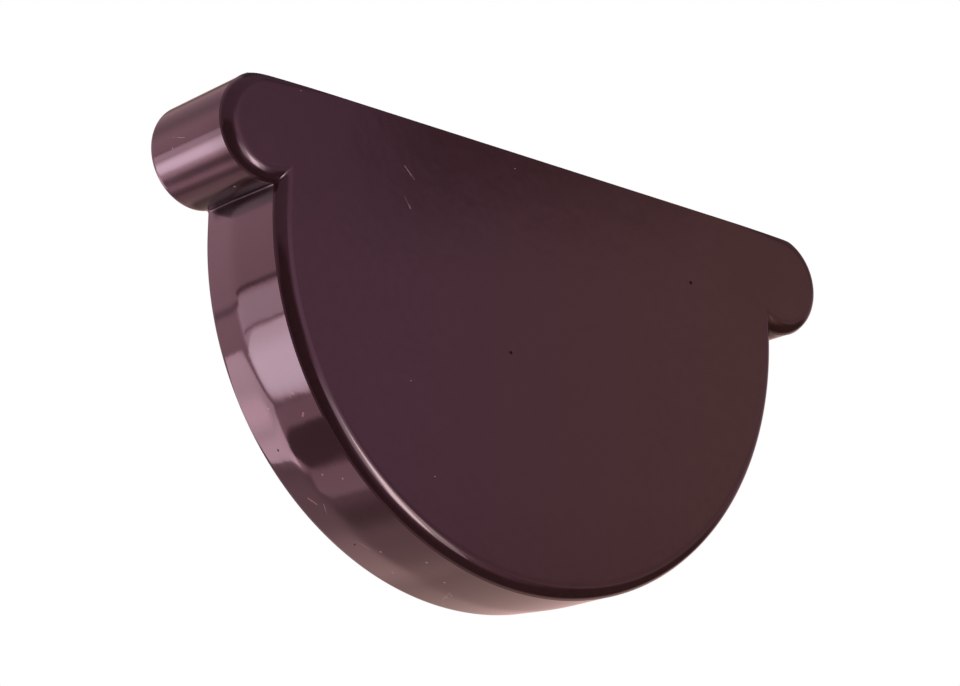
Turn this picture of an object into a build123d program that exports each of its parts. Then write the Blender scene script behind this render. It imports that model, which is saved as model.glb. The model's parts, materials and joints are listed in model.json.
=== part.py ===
from build123d import *
import os
from math import atan2, cos, degrees, radians, sin, tan

os.makedirs("parts", exist_ok=True)

# Gutter end cap, moulded in one piece. X runs across the gutter, Y along it and Z up.
# The origin is on the axis of the half-round socket, where the end of the gutter stops
# against the inner side of the face. The closed face is at -Y, the open rim at +Y.

# What the cap fits, in millimetres
gutter_diameter = 125.0  # outside of the half-round gutter
bead_diameter = 17.0  # outside of the round bead along each upper edge of the gutter
bead_offset = 5.8  # from the gutter's outer side out to the middle of a bead
bead_height = 15.0  # from the gutter's axis up to the middle of a bead
gutter_clearance = 0.25  # gap all round the gutter
bead_clearance = 0.3  # gap all round a bead

# Walls: those of the skirt and the ears are thicker at the crease than at the rim, and the skirt
# leans in more from a bend half-way along its depth
face_thickness = 2.5
skirt_wall_at_crease = 3.25
skirt_wall_at_bend = 2.9
skirt_wall_at_rim = 1.95
ear_wall_at_crease = 2.4
ear_wall_at_rim = 2.0

# Outer form
total_depth = 25.4  # from the face to the rim
top_cut = 1.3  # how far the flat top lies below the ears' full round
edge_depth = 2.4  # how far back from the face the rounded edge ends in a crease
edge_inset = 2.85  # how far in from the crease the rounded edge starts on the face
bend_depth = 13.5  # from the crease back to the skirt's bend
shoulder_slope = 5.0  # degrees by which the rounded edge climbs from an ear, out past the flat top
rim_round = 0.35  # softened edges of the open rim

# Worked out from the values above
socket_radius = gutter_diameter / 2 + gutter_clearance
ear_socket_radius = bead_diameter / 2 + bead_clearance
body_radius = socket_radius + skirt_wall_at_crease
ear_radius = ear_socket_radius + ear_wall_at_crease
ear_centre_x = gutter_diameter / 2 + bead_offset
ear_top = bead_height + ear_radius
socket_depth = total_depth - face_thickness
skirt_depth = total_depth - edge_depth
rear_depth = skirt_depth - bend_depth
front_draft = degrees(atan2(skirt_wall_at_crease - skirt_wall_at_bend, bend_depth))
rear_draft = degrees(atan2(skirt_wall_at_bend - skirt_wall_at_rim, rear_depth))
ear_draft = degrees(atan2(ear_wall_at_crease - ear_wall_at_rim, skirt_depth))

# The rounded edge is an arc that meets the face smoothly and the crease at a slight angle,
# so the blanks that it is cut on stand a little outside the crease.
edge_round = (edge_inset**2 + edge_depth**2) / (2 * edge_depth)
edge_overhang = edge_round - edge_inset
blank_depth = 2 * edge_round

backwards = (0, 1, 0)
face_plane = Plane.XZ.offset(face_thickness)
crease_plane = Plane.XZ.offset(face_thickness - edge_depth)
bend_plane = crease_plane.offset(-bend_depth)
top_plane = Plane.XY.offset(ear_top - top_cut)


def half_round(plane, radius, top):
    """Section with a half-round below the axis and straight sides up to the given height."""
    with BuildSketch(plane) as section:
        with BuildLine():
            bottom = ThreePointArc((-radius, 0), (0, -radius), (radius, 0))
            Polyline(bottom @ 1, (radius, top), (-radius, top), bottom @ 0)
        make_face()
    return section.sketch


# Front of the half-round body, rounded along its bottom and sides
with BuildPart() as body_front:
    body_section = half_round(face_plane, body_radius + edge_overhang, bead_height)
    extrude(body_section, amount=blank_depth, dir=backwards)
    body_edges = body_front.edges().group_by(Axis.Y)[0]
    fillet(body_edges.sort_by(Axis.Z)[:-1], edge_round)

# Front of one ear, a disc with the same rounded edge
with BuildPart() as ear_front:
    with BuildSketch(face_plane):
        with Locations((ear_centre_x, bead_height)):
            Circle(ear_radius + edge_overhang)
    extrude(amount=blank_depth, dir=backwards)
    fillet(ear_front.edges().group_by(Axis.Y)[0], edge_round)

# Front of the upper stretch between the ears, a low gable that touches both their rounds.
# The flat top cuts it off, so its rounded edge runs out a short way in from each ear.
with BuildPart() as upper_front:
    ear_blank_radius = ear_radius + edge_overhang
    touch_x = ear_centre_x + ear_blank_radius * sin(radians(shoulder_slope))
    touch_z = bead_height + ear_blank_radius * cos(radians(shoulder_slope))
    peak_z = touch_z + touch_x * tan(radians(shoulder_slope))
    with BuildSketch(face_plane):
        with BuildLine():
            left = [(-ear_centre_x, bead_height), (-touch_x, touch_z)]
            right = [(touch_x, touch_z), (ear_centre_x, bead_height)]
            Polyline(*left, (0, peak_z), *right, close=True)
        make_face()
    extrude(amount=blank_depth, dir=backwards)
    upper_edges = upper_front.edges().group_by(Axis.Y)[0]
    fillet(upper_edges.sort_by(Axis.Z)[-2:], edge_round)

# The fronts joined into one, which ends at the crease
with BuildPart() as front:
    add(body_front.part)
    add(upper_front.part)
    add(ear_front.part)
    mirror(ear_front.part, about=Plane.YZ)
    split(bisect_by=crease_plane, keep=Keep.TOP)

# The whole cap: front, tapered skirt and ears, cut flat on top and hollowed from behind
with BuildPart() as end_cap:
    add(front.part)
    blank_top = ear_top + skirt_wall_at_crease
    skirt_section = half_round(crease_plane, body_radius, blank_top)
    extrude(skirt_section, amount=bend_depth, dir=backwards, taper=front_draft)
    bend_section = half_round(bend_plane, socket_radius + skirt_wall_at_bend, blank_top)
    extrude(bend_section, amount=rear_depth, dir=backwards, taper=rear_draft)
    with BuildSketch(crease_plane):
        with Locations((-ear_centre_x, bead_height), (ear_centre_x, bead_height)):
            Circle(ear_radius)
    extrude(amount=skirt_depth, dir=backwards, taper=ear_draft)
    split(bisect_by=top_plane, keep=Keep.BOTTOM)

    # Room for the gutter, open at the top, and for its two beads
    room_section = half_round(Plane.XZ, socket_radius, ear_top)
    extrude(room_section, amount=socket_depth, dir=backwards, mode=Mode.SUBTRACT)
    with BuildSketch(Plane.XZ):
        with Locations((-ear_centre_x, bead_height), (ear_centre_x, bead_height)):
            Circle(ear_socket_radius)
    extrude(amount=socket_depth, dir=backwards, mode=Mode.SUBTRACT)
    fillet(end_cap.edges().group_by(Axis.Y)[-1], rim_round)

end_cap.part.label = "end_cap"
export_step(end_cap.part, "parts/end_cap.step")
print("solids", len(end_cap.part.solids()), "volume", round(end_cap.part.volume))
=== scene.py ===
import json
from functools import partial
from math import asin, atan2, cos, degrees, exp, log, pi, radians, sin, sqrt

import bmesh
import bpy
from mathutils import Matrix, Vector


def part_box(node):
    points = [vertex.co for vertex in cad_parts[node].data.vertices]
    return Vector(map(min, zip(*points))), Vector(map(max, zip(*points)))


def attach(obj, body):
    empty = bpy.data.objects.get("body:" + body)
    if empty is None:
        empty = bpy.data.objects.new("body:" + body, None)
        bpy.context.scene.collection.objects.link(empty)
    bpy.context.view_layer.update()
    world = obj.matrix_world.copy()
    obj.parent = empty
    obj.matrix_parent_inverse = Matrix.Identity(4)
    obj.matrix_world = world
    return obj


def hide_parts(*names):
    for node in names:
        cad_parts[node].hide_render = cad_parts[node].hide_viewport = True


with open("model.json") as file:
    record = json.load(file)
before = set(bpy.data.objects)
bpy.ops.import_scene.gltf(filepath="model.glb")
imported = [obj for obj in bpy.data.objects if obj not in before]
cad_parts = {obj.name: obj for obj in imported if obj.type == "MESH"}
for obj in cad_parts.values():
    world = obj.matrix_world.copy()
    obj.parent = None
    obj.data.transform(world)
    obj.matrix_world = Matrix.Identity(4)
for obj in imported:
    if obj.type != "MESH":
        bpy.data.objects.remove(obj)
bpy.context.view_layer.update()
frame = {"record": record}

# A glossy wine-brown end cap for a half-round gutter, seen from its closed face and from below.
# Lengths are in metres and angles in degrees. X runs across the gutter, to the right as the face
# is seen from outside, Y from the closed face to the open rim, and Z up. Seen along +Y, an angle
# of 0 points to +X, 90 to +Z, 180 to -X and 270 to -Z.

# Sizes that the frame gives
mounts = {mount["name"]: mount for mount in frame["record"]["mounts"]}
box_low, box_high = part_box("end_cap")
socket_radius = mounts["gutter_socket"]["dims"]["r_mm"] / 1000
ear_socket_radius = mounts["right_bead_socket"]["dims"]["r_mm"] / 1000
ear_x, stop_y, ear_z = mounts["right_bead_socket"]["pos_m"]
face_y = box_low.y
rim_y = box_high.y
top_z = box_high.z
body_radius = -box_low.z
ear_radius = box_high.x - ear_x

# Sizes of the cap's finer forms
edge_depth = 0.0024  # from the face back to the crease
crease_y = face_y + edge_depth
skirt_depth = rim_y - crease_y
edge_inset = 0.00285  # from the crease in to where the flat face begins
face_margin = 1.2 * edge_inset  # from the crease in to a ring that keeps the face's shading flat
shoulder_slope = 5.0  # by which the rounded edge climbs from an ear, out past the flat top
body_draft = 0.0013  # how much smaller the body's radius is at the rim than at the crease
bend_draft = 0.00035  # how much smaller it is at the skirt's bend, behind which it leans in more
bend_depth = 0.0135  # from the crease back to the bend
bend_softness = 0.0008
ear_draft = 0.0004  # how much smaller an ear's radius is at the rim than at the crease
rim_round = 0.00035
valley_round = 0.0004  # hollow between an ear and the body
parting_line_width = 0.00015
parting_line_height = 0.00006
corner_round = 0.00012  # softening of every sharp edge
corner_angle = 24  # from which an edge is sharp
corner_segments = 2
merge_distance = 0.000001

# Points along the outline and rings along the depth
top_steps = 6
ear_top_steps = 26
ear_side_steps = 30
valley_steps = 6
side_steps = 6
body_steps = 72
edge_steps = 14
wall_steps = 36
round_steps = 4


def on_circle(centre, radius, angle):
    return centre[0] + radius * cos(radians(angle)), centre[1] + radius * sin(radians(angle))


def arc(centre, radius, start, end, steps):
    """Points along an arc, its end left out."""
    return [on_circle(centre, radius, start + (end - start) * i / steps) for i in range(steps)]


def line(start, end, steps):
    """Points along a straight line, its end left out."""
    return [tuple(Vector(start).lerp(Vector(end), i / steps)) for i in range(steps)]


def shoulder(radius, top):
    """From the flat top down the slope, where there is one, and over the left ear to its side."""
    centre = (-ear_x, ear_z)
    touch = 90 + shoulder_slope
    touch_x, touch_z = on_circle(centre, radius, touch)
    reach = max(0, (top - touch_z) / sin(radians(shoulder_slope)))
    slope_start = (touch_x + reach * cos(radians(shoulder_slope)), top)
    arc_start = touch if reach > 0 else 180 - degrees(asin((top - ear_z) / radius))
    total = reach + radius * radians(180 - arc_start)
    points = []
    for i in range(ear_top_steps):
        travelled = total * i / ear_top_steps
        if travelled < reach:
            points.append(tuple(Vector(slope_start).lerp(Vector((touch_x, touch_z)), travelled / reach)))
        else:
            points.append(on_circle(centre, radius, arc_start + degrees((travelled - reach) / radius)))
    return points


def mirrored(left):
    """The whole outline from its left half, which ends at the middle of the bottom."""
    return left + [(-x, z) for x, z in reversed(left[:-1])]


def outer_outline(body, ear, top, hood_end=None):
    """Outline of the front or, with the inner end of the hoods given, of the skirt and the hoods."""
    left = shoulder(ear, top)
    if hood_end is not None:
        left = line((-hood_end, top), left[0], top_steps) + left
    valley_x = -(body + valley_round)
    valley_z = ear_z - sqrt((ear + valley_round) ** 2 - (ear_x + valley_x) ** 2)
    meets = degrees(atan2(valley_z - ear_z, valley_x + ear_x)) % 360
    left += arc((-ear_x, ear_z), ear, 180, meets, ear_side_steps)
    left += arc((valley_x, valley_z), valley_round, meets - 180, 0, valley_steps)
    left += line((-body, valley_z), (-body, 0), side_steps)
    left += arc((0, 0), body, 180, 270, body_steps)
    left.append((0, -body))
    return mirrored(left)


def inner_outline(body, ear, top):
    """Outline of the gutter's room and its beads', point for point beside the outer one."""
    half_gap = degrees(atan2(sqrt(ear**2 - (ear_x - body) ** 2), ear_x - body))
    upper = on_circle((-ear_x, ear_z), ear, half_gap)
    lower = on_circle((-ear_x, ear_z), ear, -half_gap)
    socket_steps = ear_top_steps + ear_side_steps + valley_steps
    left = line((-body, top), upper, top_steps)
    left += arc((-ear_x, ear_z), ear, half_gap, 360 - half_gap, socket_steps)
    left += line(lower, (-body, 0), side_steps)
    left += arc((0, 0), body, 180, 270, body_steps)
    left.append((0, -body))
    return mirrored(left)


def front_rings():
    """Insets and depths of the rounded edge, from just inside the flat face back to the crease."""
    edge_round = (edge_inset**2 + edge_depth**2) / (2 * edge_depth)
    steepest = asin(edge_inset / edge_round)
    rings = [(face_margin, face_y)]
    for i in range(edge_steps + 1):
        turn = steepest * i / edge_steps
        inset = edge_inset - edge_round * sin(turn) + parting_line_height * i / edge_steps
        rings.append((inset, face_y + edge_round * (1 - cos(turn))))
    return rings


def parting_line_rings():
    """Insets and depths of a low ridge behind the crease, where the mould's two halves meet."""
    rings = []
    for share in (0.25, 0.5, 0.75, 1):
        height = parting_line_height * (1 - cos(2 * pi * share)) / 2
        rings.append((parting_line_height - height, crease_y + parting_line_width * share))
    return rings


def placed(outline, y):
    return [Vector((x, y, z)) for x, z in outline]


def front_ring(inset, y):
    return placed(outer_outline(body_radius - inset, ear_radius - inset, top_z), y)


def past_bend(depth):
    """Distance behind the skirt's bend, rising softly from nothing."""
    return bend_softness * log(1 + exp((depth - bend_depth) / bend_softness))


def skirt_radius(y):
    depth = y - crease_y
    lean = (bend_draft - parting_line_height) / bend_depth
    extra_draft = body_draft - parting_line_height - lean * skirt_depth
    extra = extra_draft * past_bend(depth) / past_bend(skirt_depth)
    return body_radius - parting_line_height - lean * depth - extra


def hood_radius(y):
    lean = (ear_draft - parting_line_height) / skirt_depth
    return ear_radius - parting_line_height - lean * (y - crease_y)


def skirt_ring(y, rounded):
    body = skirt_radius(y) - rounded
    ear = hood_radius(y) - rounded
    return placed(outer_outline(body, ear, top_z - rounded, socket_radius + rounded), y)


def room_ring(y, rounded):
    body = socket_radius + rounded
    ear = ear_socket_radius + rounded
    return placed(inner_outline(body, ear, top_z - rounded), y)


def wall_levels():
    """Depths from the inner side of the face to the rim, and how far the rim is rounded off there."""
    straight = rim_y - rim_round - stop_y
    levels = [(stop_y + straight * i / wall_steps, 0.0) for i in range(wall_steps)]
    for i in range(round_steps + 1):
        turn = pi / 2 * i / round_steps
        levels.append((rim_y - rim_round * (1 - sin(turn)), rim_round * (1 - cos(turn))))
    return levels


def skin(mesh, rings):
    """Quads between rings that have the same number of points."""
    rows = [[mesh.verts.new(point) for point in ring] for ring in rings]
    for row, following in zip(rows, rows[1:]):
        for i in range(len(row) - 1):
            mesh.faces.new((row[i], row[i + 1], following[i + 1], following[i]))


def sheet(mesh, outline):
    mesh.faces.new([mesh.verts.new(point) for point in outline])


def cap_mesh():
    """The whole cap as one closed mesh. The flat tops of the hoods belong to the skirt's rings alone."""
    mesh = bmesh.new()
    front = [front_ring(inset, y) for inset, y in front_rings() + parting_line_rings()]
    outside = [skirt_ring(y, rounded) for y, rounded in wall_levels()]
    inside = [room_ring(y, rounded) for y, rounded in wall_levels()]
    first = outside[0]
    skin(mesh, front + [first[top_steps:-top_steps]])
    skin(mesh, outside + inside[-1:])
    skin(mesh, inside)
    sheet(mesh, front[0])
    sheet(mesh, inside[0])
    left_edge = [ring[0] for ring in front] + first[: top_steps + 1][::-1]
    right_edge = first[-top_steps - 1 :][::-1] + [ring[-1] for ring in reversed(front)]
    sheet(mesh, left_edge + right_edge)
    bmesh.ops.remove_doubles(mesh, verts=mesh.verts, dist=merge_distance)
    bmesh.ops.recalc_face_normals(mesh, faces=mesh.faces)
    data = bpy.data.meshes.new("end_cap_shell")
    mesh.to_mesh(data)
    mesh.free()
    data.shade_smooth()
    return data


def added(name, data):
    """A new object in the scene."""
    thing = bpy.data.objects.new(name, data)
    bpy.context.scene.collection.objects.link(thing)
    return thing


def build_cap():
    shell = added("end_cap_shell", cap_mesh())
    soften = shell.modifiers.new("soft edges", "BEVEL")
    soften.width = corner_round
    soften.segments = corner_segments
    soften.limit_method = "ANGLE"
    soften.angle_limit = radians(corner_angle)
    soften.harden_normals = True
    return shell


def wire(tree, socket, value):
    """Links a socket to another one, or sets it to a plain value."""
    if isinstance(value, bpy.types.NodeSocket):
        tree.links.new(value, socket)
    else:
        socket.default_value = value


def add_node(tree, kind, inputs=None, **settings):
    """A shader node with its settings made first, and then its inputs, by name or by place."""
    node = tree.nodes.new("ShaderNode" + kind)
    for name, setting in settings.items():
        setattr(node, name, setting)
    for name, value in (inputs or {}).items():
        wire(tree, node.inputs[name], value)
    return node


def maths(tree, operation, *values):
    return add_node(tree, "Math", dict(enumerate(values)), operation=operation).outputs["Value"]


def vectors(tree, operation, *values):
    return add_node(tree, "VectorMath", dict(enumerate(values)), operation=operation).outputs


def scaled(tree, vector, factor):
    inputs = {"Vector": vector, "Scale": factor}
    return add_node(tree, "VectorMath", inputs, operation="SCALE").outputs["Vector"]


def fade(tree, value, start, end, low=0.0, high=1.0):
    """A smooth change from low to high as the value goes from start to end."""
    inputs = {"Value": value, "From Min": start, "From Max": end, "To Min": low, "To Max": high}
    return add_node(tree, "MapRange", inputs, interpolation_type="SMOOTHSTEP").outputs["Result"]


def mixed(tree, share, first, second, kind="RGBA"):
    """A mix of two colours."""
    inputs = {"Factor": share, "A": first, "B": second}
    return add_node(tree, "Mix", inputs, data_type=kind).outputs["Result"]


def blended(tree, share, first, second):
    """A mix of two numbers."""
    return mixed(tree, share, first, second, "FLOAT")


def noise(tree, place, scale, detail=2.0):
    inputs = {"Vector": place, "Scale": scale, "Detail": detail}
    return add_node(tree, "TexNoise", inputs).outputs["Fac"]


def most(tree, values):
    """The largest of the values."""
    largest = values[0]
    for value in values[1:]:
        largest = maths(tree, "MAXIMUM", largest, value)
    return largest


# A mark is a line with a width. It is full out to this share of the width on each side of the line,
# and then fades.
mark_core = 0.2
mark_edge = 0.5


def mark_group():
    """A node group that gives 1 along a line and 0 away from it."""
    group = bpy.data.node_groups.new("mark", "ShaderNodeTree")
    for name in ("Place", "Start", "Along"):
        group.interface.new_socket(name, in_out="INPUT", socket_type="NodeSocketVector")
    group.interface.new_socket("Width", in_out="INPUT", socket_type="NodeSocketFloat")
    group.interface.new_socket("Mask", in_out="OUTPUT", socket_type="NodeSocketFloat")
    given = group.nodes.new("NodeGroupInput").outputs
    offset = vectors(group, "SUBTRACT", given["Place"], given["Start"])["Vector"]
    travelled = vectors(group, "DOT_PRODUCT", offset, given["Along"])["Value"]
    whole = vectors(group, "DOT_PRODUCT", given["Along"], given["Along"])["Value"]
    share = maths(group, "DIVIDE", travelled, whole)
    share.node.use_clamp = True
    gap = vectors(group, "DISTANCE", offset, scaled(group, given["Along"], share))["Value"]
    mask = fade(group, maths(group, "DIVIDE", gap, given["Width"]), mark_edge, mark_core)
    wire(group, group.nodes.new("NodeGroupOutput").inputs["Mask"], mask)
    return group


def marked(tree, group, place, lines, width):
    """1 on any of the lines and 0 elsewhere."""
    masks = []
    for start, end in lines:
        inputs = {"Place": place, "Start": start, "Along": Vector(end) - Vector(start), "Width": width}
        masks.append(add_node(tree, "Group", inputs, node_tree=group).outputs["Mask"])
    return most(tree, masks)


def on_face(x, z):
    return x, face_y, z


def on_skirt(angle, y):
    x, z = on_circle((0, 0), skirt_radius(y), angle)
    return x, y, z


def on_left_ear(angle, y):
    x, z = on_circle((-ear_x, ear_z), hood_radius(y), angle)
    return x, y, z


def dots(places, size):
    """Short lines that stand for dots, because a mark needs some length."""
    return [(place, (place[0] + size, place[1], place[2])) for place in places]


def both_sides(start, end):
    """A line beside the right ear and its mirror image, the left one first."""
    return [[(side * x, y, z) for x, y, z in (start, end)] for side in (-1, 1)]


# Specks, pits, nicks and scratches, where the photograph shows them
speck_size = 0.0001
pale_specks = dots(
    [
        on_skirt(213.1, 0.0140),
        on_skirt(212.1, 0.0053),
        on_skirt(227.0, 0.0094),
        on_skirt(228.8, 0.0049),
        on_skirt(245.3, 0.0126),
        on_skirt(251.2, 0.0167),
        on_skirt(250.8, 0.0054),
        on_skirt(257.5, 0.0088),
        on_skirt(262.3, 0.0132),
        on_skirt(262.7, 0.0153),
        on_left_ear(259.6, 0.0067),
        on_left_ear(194.1, 0.0157),
    ],
    speck_size,
)
pale_speck_width = 0.00048
dark_pits = dots([on_face(0.0416, 0.0085), on_face(-0.0075, -0.0178)], speck_size)
dark_pit_width = 0.001
small_pits = dots([on_skirt(242.3, 0.0172), on_skirt(220.5, 0.0175)], speck_size)
small_pit_width = 0.0007
nicks = [
    (on_skirt(230.6, 0.0182), on_skirt(231.3, 0.0177)),
    (on_skirt(231.3, 0.0176), on_skirt(232.1, 0.0171)),
    (on_skirt(215.8, 0.0048), on_skirt(216.2, 0.0054)),
]
nick_width = 0.0006
faint_specks = dots(
    [
        on_face(-0.0330, -0.0292),
        on_face(-0.0265, -0.0473),
        on_face(-0.0620, 0.0236),
        on_face(-0.0071, 0.0215),
    ],
    2 * speck_size,
)
scratches = [
    (on_face(-0.0357, 0.0148), on_face(-0.0331, 0.0125)),
    (on_face(-0.0355, 0.0083), on_face(-0.0339, 0.0062)),
    (on_skirt(232.4, 0.0150), on_skirt(234.7, 0.0167)),
    (on_skirt(241.5, 0.0158), on_skirt(244.3, 0.0145)),
    (on_skirt(261.2, 0.0120), on_skirt(262.9, 0.0165)),
    (on_skirt(262.9, 0.0165), on_skirt(266.4, 0.0215)),
    (on_left_ear(182.8, 0.0154), on_left_ear(188.6, 0.0115)),
]
scratch_width = 0.00022

# Where the gloss is changed: dull in the hollow between each ear and the skirt, a painted shade,
# bright on the ear's underside, a painted reflection, and rougher around the ear's axis
painted_shade_hollows = both_sides((ear_x, 0.003, 0.0051), (0.0676, 0.019, 0.0043))
painted_shade_hollow_width = 0.0092
# Under the ears the gloss is raised, a painted reflection
painted_sheen_undersides = both_sides((0.07, 0.008, 0.01), (0.07, rim_y, 0.01))
painted_sheen_width = 0.026
ear_axes = both_sides((ear_x, face_y, ear_z), (ear_x, rim_y, ear_z))
ear_width = 0.05

# Colours of the plastic and of its gloss, which drift from wine at the left to brown at the right.
# The drift of the gloss's tint is a painted reflection of a room whose tint changes from left to right.
wine = (0.02, 0.0072, 0.0088, 1)
brown = (0.0205, 0.0076, 0.007, 1)
left_painted_reflection_tint = (1.0, 0.7, 0.78, 1)
right_painted_reflection_tint = (1.0, 0.7, 0.42, 1)
drift_reach = 0.06  # from the middle out to where the drift ends
pale_mark = (0.42, 0.26, 0.28, 1)
dark_mark = (0.004, 0.002, 0.002, 1)
nick_mark = (0.24, 0.09, 0.075, 1)

# Two noises, broad and fine. As a noise goes from its first level to its second, the shade, the
# scratches' strength or the roughness goes from its first value to its second.
broad_scale = 45
fine_scale = 650
fine_detail = 3
mottle_levels = (0.3, 0.7)
broad_shades = (0.94, 1.0)
fine_shades = (0.0, 0.12)
scratch_levels = (0.4, 0.6)
scratch_strengths = (0.15, 0.5)
roughness_levels = (0.35, 0.65)
roughnesses = (0.045, 0.07)

# Gloss, and the heights of the surface's waves and grain
ear_dullness = 0.09  # how much rougher the ears are
blemish_roughness = 0.4  # how much rougher the specks, pits, nicks and scratches are
plain_gloss = 0.5
# On the ears' undersides the gloss is raised as a painted reflection
painted_sheen_gloss = 0.72
# In the hollows the gloss is lowered as a painted shade, and in the dark pits too
hollow_shade_and_pit_gloss = 0.09
hollow_shade_and_pit_levels = (0.05, 0.95)  # of the hollows' painted shade and of the dark pits, between which the gloss goes
plastic_ior = 1.5
wave_scale = 110
wave_height = 0.00002
grain_height = 0.000003


def mottled(tree, across, broad, fine):
    """The plastic's own colour with a faint mottle, broad and fine."""
    broad_shade = fade(tree, broad, *mottle_levels, *broad_shades)
    fine_shade = fade(tree, fine, *mottle_levels, *fine_shades)
    return scaled(tree, mixed(tree, across, wine, brown), maths(tree, "ADD", broad_shade, fine_shade))


def blemishes(tree, mask, fine):
    """Masks of what is pale, dark and nicked."""
    scratched = mask(scratches + faint_specks, scratch_width)
    strength = fade(tree, fine, *scratch_levels, *scratch_strengths)
    faint = maths(tree, "MULTIPLY", scratched, strength)
    pale = most(tree, [mask(pale_specks, pale_speck_width), faint])
    dark = most(tree, [mask(dark_pits, dark_pit_width), mask(small_pits, small_pit_width)])
    return pale, dark, mask(nicks, nick_width)


def roughness(tree, mask, broad, blemish):
    plain = fade(tree, broad, *roughness_levels, *roughnesses)
    ear = maths(tree, "MULTIPLY", mask(ear_axes, ear_width), ear_dullness)
    rougher = maths(tree, "MULTIPLY", blemish, blemish_roughness)
    return maths(tree, "ADD", maths(tree, "ADD", plain, ear), rougher)


def gloss_level(tree, mask, dark):
    """Bright on the ears' undersides, a painted reflection, dull in the hollows, a painted shade, and in the
    dark pits, and plain elsewhere.
    """
    gloss_with_painted_sheen = fade(tree, mask(painted_sheen_undersides, painted_sheen_width), 0, 1, plain_gloss, painted_sheen_gloss)
    hollow_shade_and_pits = most(tree, [mask(painted_shade_hollows, painted_shade_hollow_width), dark])
    return fade(tree, hollow_shade_and_pits, *hollow_shade_and_pit_levels, gloss_with_painted_sheen, hollow_shade_and_pit_gloss)


def moulded_normal(tree, place, fine):
    """The slight waviness of the moulded surface, and a fine grain."""
    waves = add_node(tree, "Bump", {"Height": noise(tree, place, wave_scale), "Distance": wave_height})
    inputs = {"Height": fine, "Distance": grain_height, "Normal": waves.outputs["Normal"]}
    return add_node(tree, "Bump", inputs).outputs["Normal"]


def plastic():
    material = bpy.data.materials.new("wine_brown_plastic")
    material.use_nodes = True
    tree = material.node_tree
    place = add_node(tree, "TexCoord").outputs["Object"]
    x = add_node(tree, "SeparateXYZ", {"Vector": place}).outputs["X"]
    across = fade(tree, x, -drift_reach, drift_reach)
    broad = noise(tree, place, broad_scale)
    fine = noise(tree, place, fine_scale, fine_detail)
    mask = partial(marked, tree, mark_group(), place)
    pale, dark, nicked = blemishes(tree, mask, fine)

    colour = mottled(tree, across, broad, fine)
    for share, mark in ((pale, pale_mark), (dark, dark_mark), (nicked, nick_mark)):
        colour = mixed(tree, share, colour, mark)
    inputs = tree.nodes["Principled BSDF"].inputs
    inputs["IOR"].default_value = plastic_ior
    wire(tree, inputs["Base Color"], colour)
    wire(tree, inputs["Roughness"], roughness(tree, mask, broad, most(tree, [pale, dark, nicked])))
    wire(tree, inputs["Specular IOR Level"], gloss_level(tree, mask, dark))
    # The gloss's tint drifts from left to right: a painted reflection of a room whose tint changes
    wire(tree, inputs["Specular Tint"], mixed(tree, across, left_painted_reflection_tint, right_painted_reflection_tint))
    wire(tree, inputs["Normal"], moulded_normal(tree, place, fine))
    return material


# Camera, which looks up at the face from the left, in the photograph's frame
camera_azimuth = 40.008
camera_elevation = 18.263
camera_roll = 0.878
camera_distance = 0.81165
camera_aim = (-0.00526, 0.00972, -0.01232)
camera_lens = 150.53  # millimetres, as the sensor is
camera_sensor = 36


def place_camera():
    data = bpy.data.cameras.new("camera")
    data.lens = camera_lens
    data.sensor_width = camera_sensor
    camera = added("camera", data)
    turn = Matrix.Rotation(radians(-camera_azimuth), 4, "Z")
    tilt = Matrix.Rotation(radians(90 + camera_elevation), 4, "X")
    roll = Matrix.Rotation(radians(camera_roll), 4, "Z")
    back = Matrix.Translation((0, 0, camera_distance))
    camera.matrix_world = Matrix.Translation(camera_aim) @ turn @ tilt @ roll @ back
    bpy.context.scene.camera = camera


# Studio light. A direction is an azimuth, 0 straight behind the cap, 90 to its right and from -90 to
# 270 all round, and an elevation. A radiance of 1 is white.
lamps = {
    "front_box": {
        "centre": (0.088, -0.668, -0.3),
        "facing": (-7.5, 24),
        "size": (0.17, 0.33),
        "roll": 0,
        "colour": (1, 1, 1),
        "radiance": 8.5,
    },
    "front_halo": {
        "centre": (0.127, -0.72, -0.34),
        "facing": (-10, 25),
        "size": (0.38, 0.5),
        "roll": 0,
        "colour": (1, 1, 1),
        "radiance": 2.5,
    },
    "rear_left_box": {
        "centre": (-0.95, 1.054, -0.34),
        "facing": (203, 0),
        "size": (0.74, 0.4),
        "roll": 7.3,
        "colour": (1, 0.88, 0.98),
        "radiance": 2.6,
    },
    "rear_right_box": {
        "centre": (-0.377, 0.81, -0.31),
        "facing": (203, 0),
        "size": (0.357, 0.31),
        "roll": 7.3,
        "colour": (1, 0.76, 0.88),
        "radiance": 3.1,
    },
}
plain_glow = 0.75  # what lights the plastic's own colour
rear_glow = 0.82
front_glow = 0.5
front_low_glow = 0.04  # in front, below the horizon
horizon_softness = 6
front_tint = (1.0, 0.63, 0.94, 1)
rear_left_tint = (1.0, 0.6, 0.72, 1)
rear_right_tint = (1.0, 0.65, 0.61, 1)
pale_tint = (1.0, 0.84, 0.98, 1)
white = (1, 1, 1, 1)

# Where one of these goes over into the next, by the X or Y of a direction or by the glow's strength
rear_glow_y = (0.15, 0.5)
rear_tint_y = (0.0, 0.45)
right_tint_x = (-0.3, 0.6)
pale_rear_glow = (2, 5)
white_front_glow = (1, 3)

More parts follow.
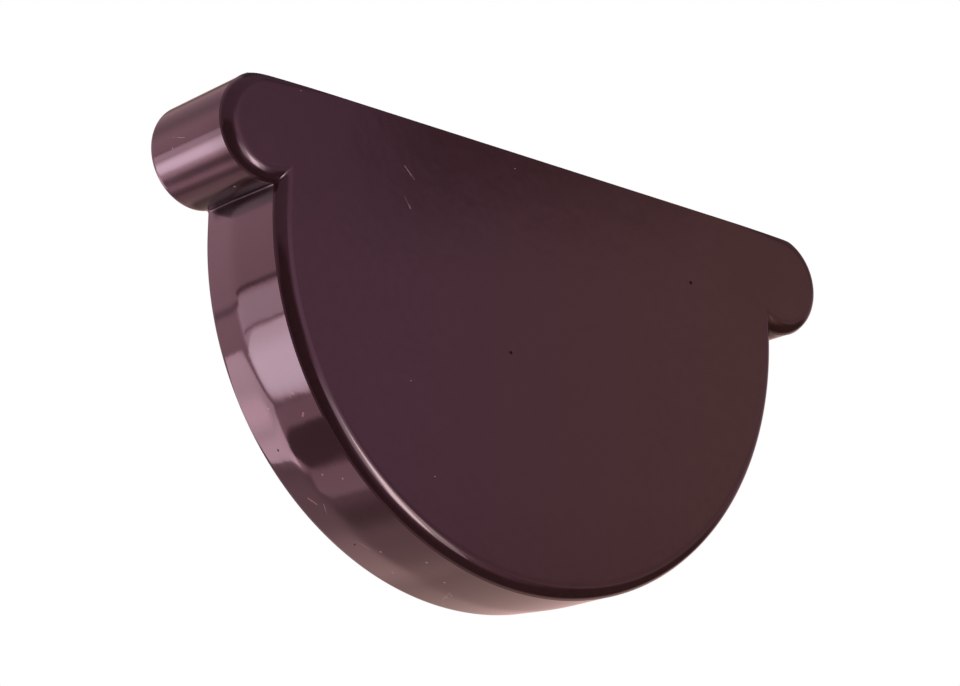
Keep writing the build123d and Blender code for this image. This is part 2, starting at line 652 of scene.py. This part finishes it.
# Parts of the room around, paler or darker than the rest, with edges this soft. Each one covers
# those above it.
room = {
    "upper_left": {"azimuths": (-60, -19), "elevations": (-12, 27), "softness": 9, "radiance": 1.82},
    "pale_wall": {"azimuths": (-60, -32), "elevations": (-23, 3), "softness": 1.5, "radiance": 3.6},
    "paler_wall": {"azimuths": (-60, -32), "elevations": (-21.5, -10), "softness": 3, "radiance": 5},
    "dark_rail": {"azimuths": (-60, -33), "elevations": (3.4, 4.6), "softness": 0.4, "radiance": 0.55},
    "rail_end": {"azimuths": (-34, -24), "elevations": (1.3, 2.9), "softness": 0.7, "radiance": 0.9},
    "thin_rail": {"azimuths": (-60, -33), "elevations": (-5.3, -4.7), "softness": 0.25, "radiance": 1.2},
    "sill": {"azimuths": (-45, -14), "elevations": (-33, -23), "softness": 1, "radiance": 1.8},
    "sill_end": {"azimuths": (-18, -13), "elevations": (-31, -27.5), "softness": 1.5, "radiance": 2.8},
    "pale_wall_end": {"azimuths": (-25, -19), "elevations": (-21, -15), "softness": 2, "radiance": 2.4},
    "dark_gap": {"azimuths": (-28, -17.5), "elevations": (-34.5, -27.3), "softness": 0.8, "radiance": 0.33},
    "pale_strip": {"azimuths": (-17, -8), "elevations": (-42, -33.5), "softness": 1.2, "radiance": 1.75},
    "dark_floor": {"azimuths": (-4, 5), "elevations": (-45, -36), "softness": 3.5, "radiance": 0.42},
    "lower_middle": {"azimuths": (-8, 12), "elevations": (-30, -21), "softness": 3, "radiance": 1.05},
    "lower_right": {"azimuths": (9, 27), "elevations": (-32, -20), "softness": 4, "radiance": 1.35},
    "dark_corner": {"azimuths": (18, 110), "elevations": (30, 90), "softness": 7, "radiance": 0.15},
    "front_window": {"azimuths": (120, 165), "elevations": (-8, 28), "softness": 7, "radiance": 0.82},
    "dark_side": {"azimuths": (203, 290), "elevations": (-8, 9), "softness": 4, "radiance": 0.04},
    "front_haze": {"azimuths": (141, 165), "elevations": (-38, -8), "softness": 12, "radiance": 1},
    "low_haze": {"azimuths": (165, 215), "elevations": (-58, -34), "softness": 10, "radiance": 0.45},
    "window_frame": {"azimuths": (151, 187), "elevations": (-18, 21), "softness": 7, "radiance": 1.45},
    "front_glare": {"azimuths": (153, 174), "elevations": (-21, 0.5), "softness": 5, "radiance": 3.4},
    "dark_lintel": {"azimuths": (136.5, 141.7), "elevations": (20.3, 50), "softness": 1.2, "radiance": 0.22},
    "front_sill": {"azimuths": (120, 150), "elevations": (0, 15), "softness": 1.5, "radiance": 0.6},
    "front_gleam": {"azimuths": (160, 195.5), "elevations": (-37, -9), "softness": 10, "radiance": 4},
    "right_front": {"azimuths": (90, 130), "elevations": (20, 90), "softness": 5, "radiance": 0.3},
}
floor_z = -0.6
floor_half = 5.0
floor_colour = (0.85, 0.85, 0.85, 1)
floor_roughness = 0.8


def toward(azimuth, elevation):
    flat = cos(radians(elevation))
    x, y = sin(radians(azimuth)) * flat, cos(radians(azimuth)) * flat
    return Vector((x, y, sin(radians(elevation))))


def soft_box(unlit, name, centre, facing, size, roll, colour, radiance):
    """A lamp that the camera doesn't see, and that leaves out the objects of one collection."""
    data = bpy.data.lights.new(name, "AREA")
    data.shape = "RECTANGLE"
    data.size, data.size_y = size
    data.color = colour
    data.energy = radiance * pi * data.size * data.size_y
    lamp = added(name, data)
    turn = toward(*facing).to_track_quat("-Z", "Y").to_matrix().to_4x4()
    lamp.matrix_world = Matrix.Translation(centre) @ turn @ Matrix.Rotation(radians(roll), 4, "Z")
    lamp.visible_camera = False
    lamp.light_linking.receiver_collection = unlit


def within(tree, value, limits, softness):
    """1 between two limits and 0 outside them, with soft edges."""
    low, high = limits
    rising = fade(tree, value, low - softness, low + softness)
    falling = fade(tree, value, high + softness, high - softness)
    return maths(tree, "MULTIPLY", rising, falling)


def room_glow(tree, x, y, z):
    """How bright the room is in a direction: pale behind the cap and darker in front of it."""
    backwards = maths(tree, "MULTIPLY", y, -1)
    azimuth = maths(tree, "ADD", maths(tree, "DEGREES", maths(tree, "ARCTAN2", backwards, x)), 90)
    elevation = maths(tree, "DEGREES", maths(tree, "ARCSINE", z))
    front = fade(tree, elevation, -horizon_softness, horizon_softness, front_low_glow, front_glow)
    glow = blended(tree, fade(tree, y, *rear_glow_y), front, rear_glow)
    for part in room.values():
        beside = within(tree, azimuth, part["azimuths"], part["softness"])
        level = within(tree, elevation, part["elevations"], part["softness"])
        glow = blended(tree, maths(tree, "MULTIPLY", beside, level), glow, part["radiance"])
    return glow


def room_tint(tree, x, y, glow):
    """The room's colour in a direction, paler where it is bright."""
    rear = mixed(tree, fade(tree, x, *right_tint_x), rear_left_tint, rear_right_tint)
    rear = mixed(tree, fade(tree, glow, *pale_rear_glow), rear, pale_tint)
    front = mixed(tree, fade(tree, glow, *white_front_glow), front_tint, white)
    return mixed(tree, fade(tree, y, *rear_tint_y), front, rear)


def surround():
    """White to the camera, the tinted room to glossy rays, and a plain white glow to all others."""
    world = bpy.data.worlds.new("studio")
    bpy.context.scene.world = world
    world.use_nodes = True
    tree = world.node_tree
    direction = add_node(tree, "TexCoord").outputs["Generated"]
    x, y, z = add_node(tree, "SeparateXYZ", {"Vector": direction}).outputs
    glow = room_glow(tree, x, y, z)
    path = add_node(tree, "LightPath").outputs
    colour = mixed(tree, path["Is Glossy Ray"], white, room_tint(tree, x, y, glow))
    strength = blended(tree, path["Is Glossy Ray"], plain_glow, glow)
    background = tree.nodes["Background"].inputs
    wire(tree, background["Color"], colour)
    wire(tree, background["Strength"], blended(tree, path["Is Camera Ray"], strength, 1.0))


def lay_floor():
    """A pale floor, which the gloss doesn't show."""
    data = bpy.data.meshes.new("floor")
    corners = [(x * floor_half, y * floor_half, floor_z) for x, y in ((-1, -1), (1, -1), (1, 1), (-1, 1))]
    data.from_pydata(corners, [], [(0, 1, 2, 3)])
    floor = added("floor", data)
    material = bpy.data.materials.new("pale_floor")
    material.use_nodes = True
    shader = material.node_tree.nodes["Principled BSDF"]
    shader.inputs["Base Color"].default_value = floor_colour
    shader.inputs["Roughness"].default_value = floor_roughness
    data.materials.append(material)
    floor.visible_glossy = False
    return floor


def left_unlit(thing):
    """A collection that the lamps leave out."""
    unlit = bpy.data.collections.new("unlit")
    unlit.objects.link(thing)
    unlit.collection_objects[0].light_linking.link_state = "EXCLUDE"
    return unlit


shell = build_cap()
shell.data.materials.append(plastic())
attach(shell, "root")
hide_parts("end_cap")
place_camera()
surround()

# The lamps stand so low that they would burn the floor out to white
unlit = left_unlit(lay_floor())
for name, settings in lamps.items():
    soft_box(unlit, name, **settings)
bpy.context.scene.view_settings.view_transform = "Standard"
